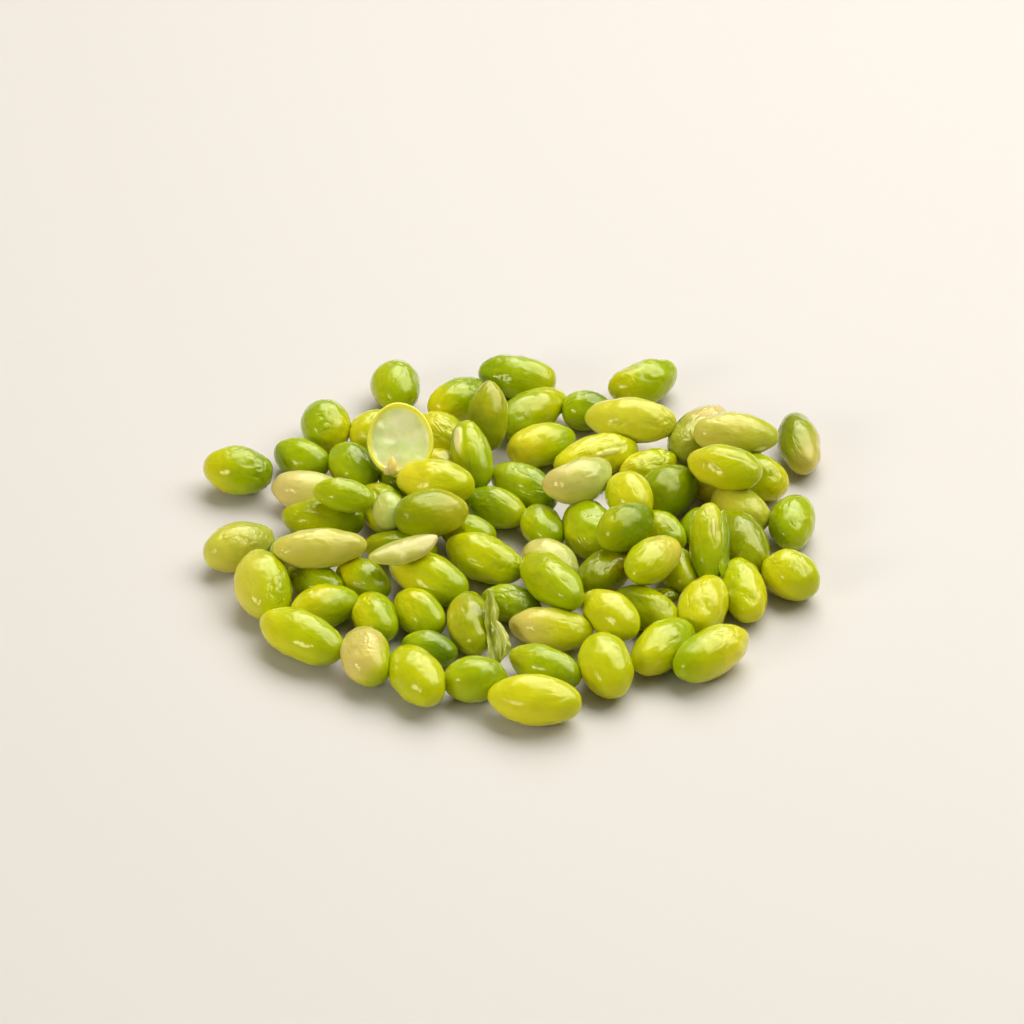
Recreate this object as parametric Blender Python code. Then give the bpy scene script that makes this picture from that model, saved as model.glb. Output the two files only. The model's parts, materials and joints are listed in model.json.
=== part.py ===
"""A loose heap of shelled, cooked edamame beans, kept together as one bunch.

Run it with: blender --background --python part.py

The layout below is in millimetres and degrees, with X across the heap and Y from its front to
its back. The model itself is in metres, +Z up, and rests on the floor at Z = 0.

Each piece is given a place, a heading and a size. It is then let down onto what already lies
there, sliding and rocking a little, until it rests. So only the layout says where a bean goes,
and its height and its tilt follow from its neighbours.
"""

import math

import bmesh
import bpy
import numpy as np
from mathutils import Matrix

MM = 0.001

# Driving dimensions
BEAN_THICKNESS = 0.88  # over the bean's width
HALF_BEAN_THICKNESS = 0.40  # of one seed leaf, over its width
SLICE_THICKNESS = 0.50
SKIN_THICKNESS = 0.40
GAP = 0.4  # mm kept between neighbours
TAPER = 0.16  # how much narrower a bean is at its pointed end
SEAM_SIDE = 0.88  # how flat the side with the seam is, 1 being as round as the other side
AROUND = 14  # points round a bean
ALONG = 8  # bands from end to end

# How a piece is let down
GRID_STEP = 0.4  # mm
GRID_HALF = 80.0  # mm
SPREAD_ROUNDS = 60
SLIDE_COST = 0.12  # mm of height that a slide of 1 mm must win, growing with its square
TILT_COST = 0.004  # the same, for each degree of turn
SEARCH_STEPS = (2.0, 1.0, 0.5, 0.25)  # mm of slide
DEGREES_PER_MM = 7.0  # turn tried together with 1 mm of slide

COLOURS = {
    "green": (0.16, 0.33, 0.03),
    "dark": (0.07, 0.17, 0.02),
    "lime": (0.38, 0.50, 0.06),
    "yellow": (0.58, 0.54, 0.12),
    "olive": (0.26, 0.27, 0.05),
    "pale": (0.62, 0.58, 0.27),
}
ROUGHNESS = 0.3

# Beans on the floor: x, y, heading, lift of the far end, length, width, colour
LEFT = (
    (-51, 14, 170, 0, 12.5, 9.5, "green"),
    (-49, -9, 35, 0, 13.5, 9, "lime"),
    (-45, -22, 105, 15, 15, 9, "lime"),
    (-33, -36, 145, 0, 16, 9.5, "lime"),
    (-34, -28, 30, 0, 13, 8, "green"),
    (-34, 30, 100, 0, 11.5, 9.5, "green"),
    (-38, 9, 172, 0, 13, 8, "pale"),
    (-35, 0, 175, 0, 14.5, 8, "dark"),
)
FRONT = (
    (-23, -43, 100, 0, 14, 9, "green"),
    (-17, -45, 115, 0, 15.5, 9, "lime"),
    (-8, -48, 8, 0, 11.5, 9, "green"),
    (2, -52, 175, 0, 17, 10, "yellow"),
    (8, -43, 150, 0, 14, 7.5, "green"),
    (7, -32, 170, 0, 15.5, 8, "yellow"),
    (18, -42, 105, 12, 15, 9.5, "lime"),
    (-8, -31, 98, 5, 15, 8.5, "olive"),
    (-16, -28, 125, 0, 12, 8, "green"),
    (28, -37, 55, 0, 15.5, 8.5, "lime"),
    (32, -38, 45, 0, 16.5, 9, "lime"),
)
RIGHT = (
    (26, -26, 140, 0, 13, 8, "dark"),
    (36, -21, 75, 0, 14, 9, "lime"),
    (40, -19, 100, 8, 14.5, 8, "lime"),
    (46, -14, 140, 0, 11, 9.5, "yellow"),
    (51, 4, 80, 0, 13.5, 8.5, "green"),
    (43, -3, 110, 8, 15, 8.5, "olive"),
    (48, 18, 130, 0, 13.5, 8.5, "green"),
    (54, 30, 95, 4, 16, 8, "olive"),
    (35, 31, 60, 0, 16.5, 9.5, "olive"),
    (32, 13, 50, 0, 12, 9.5, "dark"),
)
BACK = (
    (24, 49, 35, 0, 14.5, 8.5, "green"),
    (16, 22, 28, 0, 17, 8.5, "yellow"),
    (4, 37, 45, 0, 15.5, 8.5, "green"),
    (5, 26, 32, 0, 13.5, 8.5, "lime"),
    (0, 50, 165, 0, 15.5, 8.5, "green"),
    (-11, 41, 45, 0, 13, 8.5, "green"),
    (-23, 46, 95, 0, 12.5, 9, "green"),
)
MIDDLE = (
    (-16, -15, 140, 0, 16.5, 9.5, "lime"),
    (17, -14, 52, 0, 13.5, 8, "olive"),
    (13, -1, 110, 5, 14, 9, "green"),
    (2, 12, 140, 0, 14.5, 8.5, "green"),
    (-5, -11, 145, 0, 15.5, 9, "lime"),
)

# Places kept free on the floor, in the same order, for small beans that this model leaves out
KEPT_FREE = (
    (-39, -10, 170, 0, 11, 7),
    (-35, -21, 145, 0, 11, 7),
    (-15, -38, 160, 0, 10, 6.5),
    (8, -12, 130, 0, 11, 8),
    (36, 13, 120, 0, 10, 7),
    (24, 19, 35, 0, 12, 7),
    (5, 1, 110, 0, 11, 7.5),
    (13, 39, 0, 0, 9, 8),
    (-28, 29, 60, 0, 10, 8.5),
    (-14, 29, 130, 0, 11, 8),
    (-14, 19, 140, 0, 10, 7),
    (-24, 4, 120, 0, 12, 7.5),
    (-3, 4, 150, 0, 12, 7.5),
    (-10, -3, 150, 0, 11, 7),
    (-21, -9, 170, 0, 13, 7),
    (0, -24, 155, 0, 11, 7),
    (28, 0, 120, 0, 10.5, 7.5),
    (34, 2, 90, 0, 9, 6.5),
    (31, -11, 105, 0, 12, 7),
    (42, 7, 135, 0, 11.5, 8),
    (-23, 15, 145, 0, 10, 7),
    (-27, -18, 140, 0, 11, 7.5),
    (-39, 20, 150, 0, 11, 8),
    (-30, 17, 120, 0, 12, 8),
    (-24, -29, 105, 0, 12, 7.5),
)

# Beans that lie on others, from the lowest
TOP = (
    (40, 25, 0, 0, 15.5, 8.5, "lime"),
    (40, 9, 158, 0, 14.5, 8.5, "lime"),
    (22, 28, 168, 0, 17, 9, "yellow"),
    (13, 4, 35, 0, 14.5, 8.5, "pale"),
    (18, 5, 115, 0, 11.5, 8.5, "lime"),
    (20, -10, 50, 0, 12, 9, "dark"),
    (25, -19, 60, 0, 15, 8.5, "lime"),
    (34, -11, 88, 40, 14.5, 7.5, "green"),
    (18, -31, 130, 0, 14, 8.5, "lime"),
    (7, -26, 120, 0, 17, 9, "green"),
    (-1, 33, 92, 45, 15, 7.5, "olive"),
    (-8, 16, 105, 22, 15, 7.5, "lime"),
    (-14, 5, 160, 0, 14.5, 8, "lime"),
    (-15, -6, 15, 0, 13, 9.5, "olive"),
    (-32, 0, 168, 0, 12, 7, "green"),
    (-35, -17, 12, 0, 16.5, 7.5, "lime"),
)
HALF_BEAN = (-21, 15, 98, 52, 13.5, 12.5, "pale")
SLICE = (-19, -17, 25, 0, 13, 6, "pale")
LOOSE_SKIN = (-5, -32, 92, 50, 14, 3.5, "pale")


def turn_of(heading, lift, roll):
    """The rotation of a piece whose length points to its heading, far end lifted."""
    turned = (
        Matrix.Rotation(math.radians(heading), 3, "Z")
        @ Matrix.Rotation(math.radians(-lift), 3, "Y")
        @ Matrix.Rotation(math.radians(roll), 3, "X")
    )
    return np.array(turned)


def sides_of(turn, axes, x, y):
    """Underside and top of an ellipsoid centred at height 0, over the points x and y."""
    form = turn @ np.diag(axes**-2.0) @ turn.T
    middle = -(form[0, 2] * x + form[1, 2] * y) / form[2, 2]
    plan = form[0, 0] * x**2 + 2 * form[0, 1] * x * y + form[1, 1] * y**2 - 1
    half_square = middle**2 - plan / form[2, 2]
    half = np.sqrt(np.where(half_square > 0, half_square, np.nan))
    return middle - half, middle + half


class Floor:
    """The height of what already lies in the heap, on a grid."""

    def __init__(self):
        self.line = np.arange(-GRID_HALF, GRID_HALF + GRID_STEP, GRID_STEP)
        self.height = np.zeros((len(self.line), len(self.line)))

    def window(self, x, y, reach):
        low = np.searchsorted(self.line, (x - reach, y - reach))
        high = np.searchsorted(self.line, (x + reach, y + reach))
        cells = (slice(low[0], high[0]), slice(low[1], high[1]))
        east, north = np.meshgrid(self.line[cells[0]], self.line[cells[1]], indexing="ij")
        return cells, east - x, north - y

    def rest(self, pose, axes):
        """The height at which a piece in this pose comes to rest."""
        x, y, heading, lift, roll = pose
        cells, east, north = self.window(x, y, axes.max())
        under, _ = sides_of(turn_of(heading, lift, roll), axes, east, north)
        return np.nanmax(self.height[cells] - under)

    def lay(self, pose, axes, z):
        """Adds a piece, grown by the gap, to what lies there."""
        x, y, heading, lift, roll = pose
        grown = axes + GAP
        cells, east, north = self.window(x, y, grown.max())
        _, over = sides_of(turn_of(heading, lift, roll), grown, east, north)
        self.height[cells] = np.fmax(self.height[cells], over + z)


def settle(floor, start, axes):
    """Slides and rocks a piece to where it lies lowest, near its own place."""
    start = np.array(start, float)
    weights = np.array((SLIDE_COST, SLIDE_COST, TILT_COST, TILT_COST, TILT_COST))

    def cost(pose):
        return floor.rest(pose, axes) + (weights * (pose - start) ** 2).sum()

    best = start.copy()
    lowest = cost(best)
    for step in SEARCH_STEPS:
        sizes = np.array((step, step) + (step * DEGREES_PER_MM,) * 3)
        better = True
        while better:
            better = False
            for move in np.vstack((np.diag(sizes), -np.diag(sizes))):
                found = cost(best + move)
                if found < lowest - 1e-4:
                    best = best + move
                    lowest = found
                    better = True
    return best, floor.rest(best, axes)


def spread(rows):
    """Moves the places on the floor apart where two beans would share room."""
    places = np.array([row[:2] for row in rows], float)
    forms = []
    for row in rows:
        turn = turn_of(row[2], 0, 0)[:2, :2]
        halves = np.array((row[4], row[5])) / 2 + GAP / 2
        forms.append(turn @ np.diag(halves**-2.0) @ turn.T)
    for _ in range(SPREAD_ROUNDS):
        for i in range(len(rows)):
            for j in range(i + 1, len(rows)):
                line = places[j] - places[i]
                far = np.linalg.norm(line)
                along = line / far
                need = sum((along @ forms[k] @ along) ** -0.5 for k in (i, j))
                if far < need:
                    places[i] -= along * (need - far) / 4
                    places[j] += along * (need - far) / 4
    return [(*place, *row[2:]) for place, row in zip(places, rows)]


def material(name, colour):
    made = bpy.data.materials.new(name)
    made.use_nodes = True
    shader = made.node_tree.nodes["Principled BSDF"]
    shader.inputs["Base Color"].default_value = (*COLOURS[colour], 1)
    shader.inputs["Roughness"].default_value = ROUGHNESS
    shader.inputs["Metallic"].default_value = 0
    return made


def seed_shape(length, width, thickness):
    """A bean: round, plump, narrower at one end and flatter along its seam."""
    shape = bmesh.new()
    bmesh.ops.create_uvsphere(shape, u_segments=AROUND, v_segments=ALONG, radius=1)
    bmesh.ops.rotate(shape, verts=shape.verts, matrix=Matrix.Rotation(math.pi / 2, 3, "Y"))
    for vert in shape.verts:
        x, y, z = vert.co
        narrow = 1 - TAPER * max(0, x) ** 2
        seam = SEAM_SIDE if y < 0 else 1
        vert.co = (x * length / 2, y * narrow * seam * width / 2, z * narrow * thickness / 2)
    return shape


def keep_below(shape, height):
    """Cuts a bean flat, keeping what lies below this height."""
    everything = shape.verts[:] + shape.edges[:] + shape.faces[:]
    cut = bmesh.ops.bisect_plane(
        shape, geom=everything, plane_co=(0, 0, height), plane_no=(0, 0, 1), clear_outer=True
    )
    rim = [item for item in cut["geom_cut"] if isinstance(item, bmesh.types.BMEdge)]
    bmesh.ops.holes_fill(shape, edges=rim, sides=0)
    bmesh.ops.recalc_face_normals(shape, faces=shape.faces)


def add_piece(name, shape, colour, pose, z, parent, collection):
    bmesh.ops.scale(shape, verts=shape.verts, vec=(MM, MM, MM))
    mesh = bpy.data.meshes.new(name)
    shape.to_mesh(mesh)
    shape.free()
    mesh.materials.append(material(name, colour))
    piece = bpy.data.objects.new(name, mesh)
    x, y, heading, lift, roll = pose
    placed = Matrix(turn_of(heading, lift, roll)).to_4x4()
    piece.rotation_euler = placed.to_euler()
    piece.location = (x * MM, y * MM, z * MM)
    piece.parent = parent
    collection.objects.link(piece)


def lay_bean(floor, row):
    """Lets a bean down and returns its pose, height and size."""
    x, y, heading, lift, length, width = row[:6]
    thickness = BEAN_THICKNESS * width
    axes = np.array((length, width, thickness)) / 2
    pose, z = settle(floor, (x, y, heading, lift, 0), axes)
    floor.lay(pose, axes, z)
    return pose, z, (length, width, thickness)


def build_beans(floor, rows, area, parent, collection):
    for number, row in enumerate(rows, 1):
        pose, z, size = lay_bean(floor, row)
        add_piece(f"bean_{area}_{number}", seed_shape(*size), row[6], pose, z, parent, collection)


def build_cut_piece(floor, name, row, part_of_width, parent, collection):
    """A half bean, a slice or a skin: the lower half of a thin bean, flat face up."""
    x, y, heading, lift, length, width, colour = row
    depth = part_of_width * width
    axes = np.array((length / 2, width / 2, depth))
    pose, z = settle(floor, (x, y, heading, lift, 0), axes)
    floor.lay(pose, axes, z)
    shape = seed_shape(length, width, 2 * depth)
    keep_below(shape, 0)
    add_piece(name, shape, colour, pose, z, parent, collection)


def centre_on_floor(parent, collection):
    """Puts the middle of the heap's box over the origin, and its lowest point on the floor."""
    bpy.context.view_layer.update()
    corners = []
    for piece in collection.objects:
        if piece.type == "MESH":
            corners += [piece.matrix_world @ vert.co for vert in piece.data.vertices]
    points = np.array(corners)
    low = points.min(axis=0)
    high = points.max(axis=0)
    parent.location = (-(low[0] + high[0]) / 2, -(low[1] + high[1]) / 2, -low[2])


def main():
    for old in list(bpy.data.objects):
        bpy.data.objects.remove(old)
    collection = bpy.data.collections.new("edamame_heap")
    bpy.context.scene.collection.children.link(collection)
    heap = bpy.data.objects.new("heap_origin", None)
    collection.objects.link(heap)

    areas = {"left": LEFT, "front": FRONT, "right": RIGHT, "back": BACK, "middle": MIDDLE}
    on_floor = spread([row for rows in (*areas.values(), KEPT_FREE) for row in rows])
    floor = Floor()
    for area, rows in areas.items():
        build_beans(floor, on_floor[: len(rows)], area, heap, collection)
        on_floor = on_floor[len(rows) :]
    for row in on_floor:
        lay_bean(floor, row)
    build_cut_piece(floor, "half_bean", HALF_BEAN, HALF_BEAN_THICKNESS, heap, collection)
    build_beans(floor, TOP, "top", heap, collection)
    build_cut_piece(floor, "seed_slice", SLICE, SLICE_THICKNESS, heap, collection)
    build_cut_piece(floor, "loose_skin", LOOSE_SKIN, SKIN_THICKNESS, heap, collection)
    centre_on_floor(heap, collection)


main()
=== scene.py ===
# %% [markdown]
# # A heap of shelled, cooked edamame beans
# The beans come out of their pods wet, plump and thin-skinned. Their shapes, colours and
# wrinkles all differ, yet they follow one rule, so one Geometry Nodes tree makes every bean.
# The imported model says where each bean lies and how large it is. This script gives it its skin.

import json
import math

import bmesh
import bpy
import numpy as np
from mathutils import Matrix, Vector, noise


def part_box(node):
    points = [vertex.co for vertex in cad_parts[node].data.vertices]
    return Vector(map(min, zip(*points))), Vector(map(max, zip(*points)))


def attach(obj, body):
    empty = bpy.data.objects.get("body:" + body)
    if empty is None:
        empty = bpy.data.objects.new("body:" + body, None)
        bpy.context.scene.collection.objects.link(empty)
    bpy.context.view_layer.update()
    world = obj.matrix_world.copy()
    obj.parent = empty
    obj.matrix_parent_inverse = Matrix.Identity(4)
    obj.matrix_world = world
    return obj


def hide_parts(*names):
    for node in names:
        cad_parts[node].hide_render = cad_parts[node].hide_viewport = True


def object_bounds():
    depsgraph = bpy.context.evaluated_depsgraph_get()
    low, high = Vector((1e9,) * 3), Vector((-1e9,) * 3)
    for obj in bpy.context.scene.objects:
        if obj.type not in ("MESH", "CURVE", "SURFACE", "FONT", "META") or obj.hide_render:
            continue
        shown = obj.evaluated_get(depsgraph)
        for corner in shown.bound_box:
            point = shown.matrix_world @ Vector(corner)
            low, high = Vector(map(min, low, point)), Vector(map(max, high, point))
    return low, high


MM = 0.001
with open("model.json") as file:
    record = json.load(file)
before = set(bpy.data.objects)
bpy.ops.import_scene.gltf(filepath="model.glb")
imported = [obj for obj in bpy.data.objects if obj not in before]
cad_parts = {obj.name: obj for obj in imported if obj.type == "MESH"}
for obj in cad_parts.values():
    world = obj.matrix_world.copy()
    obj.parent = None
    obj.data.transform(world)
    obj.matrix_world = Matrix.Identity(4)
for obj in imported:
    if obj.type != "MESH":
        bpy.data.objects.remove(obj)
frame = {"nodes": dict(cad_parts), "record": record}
cad_box = [list(corner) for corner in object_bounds()]
slot_of = {part["node"]: part["material_slot"] for part in frame["record"]["subparts"]}
cad_size = [round((high - low) / MM, 1) for low, high in zip(*cad_box)]
print("nodes:", len(frame["nodes"]), "size in mm:", cad_size)

# %% [markdown]
# ## Writing node sums as sums
# A node tree can be wired by hand, one Math node at a time. A small class that turns +, - and *
# into Math nodes keeps the rule for the bean's shape readable, and it serves materials too.


# %% A number or a vector inside a node tree
def add_node(tree, kind, inputs=(), **settings):
    """Adds a node. Its inputs are given in order or by name: a Field is linked, a value is set."""
    made = tree.nodes.new(kind)
    for name, value in settings.items():
        setattr(made, name, value)
    for key, value in inputs.items() if isinstance(inputs, dict) else enumerate(inputs):
        if isinstance(value, Field):
            tree.links.new(value.socket, made.inputs[key])
        elif value is not None:
            made.inputs[key].default_value = value
    return made


class Field:
    """A value that a tree works out at each point."""

    def __init__(self, tree, socket):
        self.tree = tree
        self.socket = socket

    def math(self, operation, *others):
        made = add_node(self.tree, "ShaderNodeMath", (self, *others), operation=operation)
        return Field(self.tree, made.outputs[0])

    def vector(self, operation, *others):
        made = add_node(self.tree, "ShaderNodeVectorMath", (self, *others), operation=operation)
        number = operation in ("LENGTH", "DOT_PRODUCT", "DISTANCE")
        return Field(self.tree, made.outputs[1 if number else 0])

    def __add__(self, other):
        return self.math("ADD", other)

    def __sub__(self, other):
        return self.math("SUBTRACT", other)

    def __mul__(self, other):
        return self.math("MULTIPLY", other)

    def __pow__(self, other):
        return self.math("POWER", other)

    def flipped(self):
        """One minus this."""
        return (self * -1) + 1

    def scaled(self, factors):
        return self.vector("MULTIPLY", factors)

    def moved(self, offset):
        return self.vector("ADD", offset)

    def parts(self):
        split = add_node(self.tree, "ShaderNodeSeparateXYZ", (self,))
        return [Field(self.tree, split.outputs[axis]) for axis in range(3)]

    def ramp(self, low, high, start=0.0, end=1.0):
        """Goes smoothly from start to end while this goes from low to high."""
        made = add_node(
            self.tree,
            "ShaderNodeMapRange",
            {"Value": self, "From Min": low, "From Max": high, "To Min": start, "To Max": end},
            interpolation_type="SMOOTHSTEP",
        )
        return Field(self.tree, made.outputs[0])

    def noise(self, scale, detail=2.0, rough=0.5, warp=0.0):
        """Cloudy noise, about 0.5 on average, read at this vector."""
        settings = (scale, detail, rough, warp)
        titles = ("Scale", "Detail", "Roughness", "Distortion")
        made = add_node(
            self.tree, "ShaderNodeTexNoise", {"Vector": self, **dict(zip(titles, settings))}
        )
        return Field(self.tree, made.outputs[0])

    def creases(self, scale, sharp, detail=1.0, warp=0.6):
        """1 along thin winding lines and 0 on the pads between them."""
        middle = (self.noise(scale, detail, 0.5, warp) - 0.5).math("ABSOLUTE")
        return middle.ramp(0.0, sharp, 1.0, 0.0)


def combined(tree, x, y, z):
    made = add_node(tree, "ShaderNodeCombineXYZ", (x, y, z))
    return Field(tree, made.outputs[0])


# %% [markdown]
# ## The bean's shape
# A bean is a fat oval with round, blunt or pointed ends, and it may bend like a kidney. A small
# scar marks where it hung in the pod, and boiling leaves the skin tight in one place and
# wrinkled in another. Sculpting 80 beans would take days and one shared mesh would look copied,
# so the rule is a Geometry Nodes tree with named inputs. It starts from a cube whose points are
# pushed out to a ball, because a ball with poles would pinch the skin at its ends.

# %% The inputs of the bean tree
EDGE_POINTS = 28  # of the cube, which gives under nine thousand triangles a bean
SEAM_SIDE = 0.94  # a bean's half widths, seam side and back, are 0.88 and 1
BEAN_NUMBERS = {
    "Length": 14 * MM,
    "Width": 9 * MM,
    "Thickness": 8 * MM,
    "Point": 0.16,  # how much slimmer the far end is
    "Near tip": -0.05,  # over 0 the end is pointed, under 0 blunt
    "Far tip": -0.05,
    "Kidney": 0.0,  # how far both ends bend towards the seam
    "Uneven": 0.9 * MM,
    "Wrinkle depth": 0.05 * MM,
    "Wrinkle size": 1.0,
    "Wrinkle run": 1.0,  # under 1 the creases run lengthwise, over 1 across
    "Wrinkle reach": 0.2,  # from 1, one spot, to -1, the whole bean
    "Ripple show": 0.15,  # rows of fine waves where the skin is slack
    "Dent depth": 0.0,
    "Dent size": 0.5,
    "Seam show": 0.0,
    "Scar show": 0.3,
    "Scar size": 1.0,
    "Speck show": 0.0,
    "Ripeness": 0.5,
    "Ripe change": 0.25,
    "Pale": 0.0,  # of the whole bean
    "Pale side": 0.0,  # of the side that ripens first
    "Seed": 0.0,
}
USUAL_SCAR = (0.0, -0.86, -0.5)  # half way along, on the flatter side
BEAN_DIRECTIONS = {
    "Wrinkle place": (0.0, 0.0, 1.0),
    "Dent place": (0.0, 0.0, 1.0),
    "Seam place": (0.0, 1.0, 0.0),
    "Scar place": USUAL_SCAR,
    "Speck place": (1.0, 0.0, 0.0),
    "Ripe side": (-1.0, 0.0, 0.0),
}
LEAST_END = 0.0004  # keeps the sum for the ends finite at the very tips
FULL_SLACK = 0.12 * MM  # where wrinkles are this deep, the skin is fully loose
SCAR_SHAPE = (4.2, 11.0, 11.0)  # one over its half lengths, on a ball of radius 1


def new_tree(name, numbers, directions):
    """An empty geometry tree with these inputs, and the fields that read them."""
    tree = bpy.data.node_groups.new(name, "GeometryNodeTree")
    kinds = (("NodeSocketFloat", numbers), ("NodeSocketVector", directions))
    for kind, titles in kinds:
        for title, value in titles.items():
            socket = tree.interface.new_socket(title, in_out="INPUT", socket_type=kind)
            socket.default_value = value
    points = tree.interface.new_socket("Points", in_out="INPUT", socket_type="NodeSocketInt")
    points.default_value = EDGE_POINTS
    tree.interface.new_socket("Skin", in_out="INPUT", socket_type="NodeSocketMaterial")
    tree.interface.new_socket("Geometry", in_out="OUTPUT", socket_type="NodeSocketGeometry")
    entry = add_node(tree, "NodeGroupInput")
    given = {item.name: Field(tree, item) for item in entry.outputs if item.name}
    return tree, given


def even_ball(tree, points):
    """A cube and, for each of its points, the way out to a ball with faces of even size."""
    cube = add_node(tree, "GeometryNodeMeshCube", ((2, 2, 2), points, points, points))
    place = Field(tree, add_node(tree, "GeometryNodeInputPosition").outputs[0])
    spread = [axis.math("MULTIPLY", math.pi / 4).math("TANGENT") for axis in place.parts()]
    return Field(tree, cube.outputs[0]), combined(tree, *spread).vector("NORMALIZE")


def store(tree, mesh, name, value, kind="FLOAT"):
    settings = {"Geometry": mesh, "Name": name, "Value": value}
    made = add_node(
        tree, "GeometryNodeStoreNamedAttribute", settings, data_type=kind, domain="POINT"
    )
    return Field(tree, made.outputs[0])


def close_tree(tree, mesh, skin):
    """Smooth faces, real geometry and the material: the end of the tree."""
    smooth = Field(tree, add_node(tree, "GeometryNodeSetShadeSmooth", (mesh,)).outputs[0])
    real = Field(tree, add_node(tree, "GeometryNodeRealizeInstances", (smooth,)).outputs[0])
    inputs = {"Geometry": real, "Material": skin}
    coloured = add_node(tree, "GeometryNodeSetMaterial", inputs)
    leave = add_node(tree, "NodeGroupOutput")
    tree.links.new(coloured.outputs[0], leave.inputs[0])


def smooth_bean(tree, out, given):
    """The bean without wrinkles. Its cross-section shrinks to the ends, faster if pointed."""
    x, y, z = out.parts()
    far = x.math("MAXIMUM", 0.0)
    tip = given["Near tip"] + (given["Far tip"] - given["Near tip"]) * x.ramp(-0.2, 0.2)
    ends = (x * x).flipped().math("MAXIMUM", LEAST_END) ** tip
    girth = (far * far * given["Point"]).flipped() * ends
    seam_side = y * (1 - SEAM_SIDE) + SEAM_SIDE
    bend = (x * x - 0.3) * given["Kidney"]
    return combined(
        tree,
        x * given["Length"] * 0.5,
        (y * girth * seam_side - bend) * given["Width"] * 0.5,
        z * girth * given["Thickness"] * 0.5,
    )


def build_bean_tree():
    tree, given = new_tree("Wrinkled bean", BEAN_NUMBERS, BEAN_DIRECTIONS)
    mesh, out = even_ball(tree, given["Points"])
    body = smooth_bean(tree, out, given)
    seeded = combined(tree, given["Seed"] * 3.1, given["Seed"] * 5.7, given["Seed"] * 7.3)
    here = body.scaled((1 / MM,) * 3).moved(seeded)

    # Wrinkles: deep where they are wanted, and faint all over
    toward = out.vector("DOT_PRODUCT", given["Wrinkle place"])
    reach = given["Wrinkle reach"]
    cover = toward + (here.noise(0.3, 1.0) - 0.5) * 1.6
    cover = cover.ramp(reach, reach + 0.5, 0.12, 1.0)
    drawn = here.scaled(combined(tree, given["Wrinkle run"], 1.0, 1.0))
    drawn = drawn.vector("DIVIDE", combined(tree, *(given["Wrinkle size"],) * 3))
    crease = (drawn.creases(0.26, 0.16) + drawn.creases(0.5, 0.22, 0.0) * 0.4) * cover
    uneven = (here.noise(0.19, 1.0) - 0.5) * given["Uneven"]

    # A dent, the seam of the skin and the scar
    dent = out.vector("DISTANCE", given["Dent place"]).math("DIVIDE", given["Dent size"])
    dent = dent.ramp(0.0, 1.0, 1.0, 0.0)
    beside = combined(tree, 1.0, 0.0, 0.0).vector("CROSS_PRODUCT", given["Seam place"])
    from_seam = out.vector("DOT_PRODUCT", beside) + (here.noise(0.3, 2.0) - 0.5) * 0.12
    seam = from_seam.math("ABSOLUTE").ramp(0.0, 0.055, 1.0, 0.0)
    seam = seam * out.vector("DOT_PRODUCT", given["Seam place"]).ramp(0.1, 0.5)
    seam = seam * given["Seam show"]
    from_scar = out.vector("SUBTRACT", given["Scar place"]).scaled(SCAR_SHAPE).vector("LENGTH")
    from_scar = from_scar.math("DIVIDE", given["Scar size"])
    scar = from_scar.ramp(0.7, 1.0, 1.0, 0.0) * given["Scar show"]
    moat = from_scar.ramp(0.9, 1.15) * from_scar.ramp(1.15, 1.9, 1.0, 0.0) * given["Scar show"]

    from_speck = out.vector("DISTANCE", given["Speck place"]).ramp(0.25, 0.75, 1.0, 0.0)
    speck = here.noise(1.1, 1.0).ramp(0.50, 0.58) * from_speck * given["Speck show"]

    push = uneven - crease * given["Wrinkle depth"] - dent * given["Dent depth"]
    push = push + (scar * 0.16 - moat * 0.14 - seam * 0.10) * MM
    sizes = combined(tree, given["Length"], given["Width"], given["Thickness"])
    outward = out.vector("DIVIDE", sizes).vector("NORMALIZE")
    push_way = outward.vector("MULTIPLY", combined(tree, push, push, push))

    # What the skin's material reads
    side = out.vector("DOT_PRODUCT", given["Ripe side"]).ramp(-0.9, 0.9, -1.0, 1.0)
    ripe = given["Ripeness"] + side * given["Ripe change"] + (here.noise(0.2, 2.0) - 0.5) * 0.25
    pale = given["Pale"] + given["Pale side"] * side.ramp(-0.5, 0.8)
    pale = pale * (here.noise(0.25, 2.0) * 0.8 + 0.6)
    slack = cover * given["Wrinkle depth"] * (1 / FULL_SLACK)
    marks = {
        "pale": pale,
        "slack": slack,
        "ripple": slack.ramp(0.1, 1.0) * given["Ripple show"],
        "crease": crease,
        "scar": scar,
        "seam": seam,
        "speck": speck,
        "ripe": ripe,
    }
    for name, value in marks.items():
        mesh = store(tree, mesh, name, value)
    mesh = store(tree, mesh, "bean_place", here, "FLOAT_VECTOR")
    inputs = {"Geometry": mesh, "Position": body.moved(push_way)}
    moved = add_node(tree, "GeometryNodeSetPosition", inputs)
    close_tree(tree, Field(tree, moved.outputs[0]), given["Skin"])
    return tree


bean_tree = build_bean_tree()
print("bean tree:", len(bean_tree.nodes), "nodes")

# %% [markdown]
# ## The skin's finish
# Boiled bean skin is a thin, wet film over a soft body that lets light in. So a little light
# spreads below the surface, under a clear coat for the water. Unripe beans are green and riper
# ones turn yellow, and one bean often shows both, so each skin has three tones and the tree's
# "ripe" picks among them. The finest creases are too small for the mesh, and a bump gives them.

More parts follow.
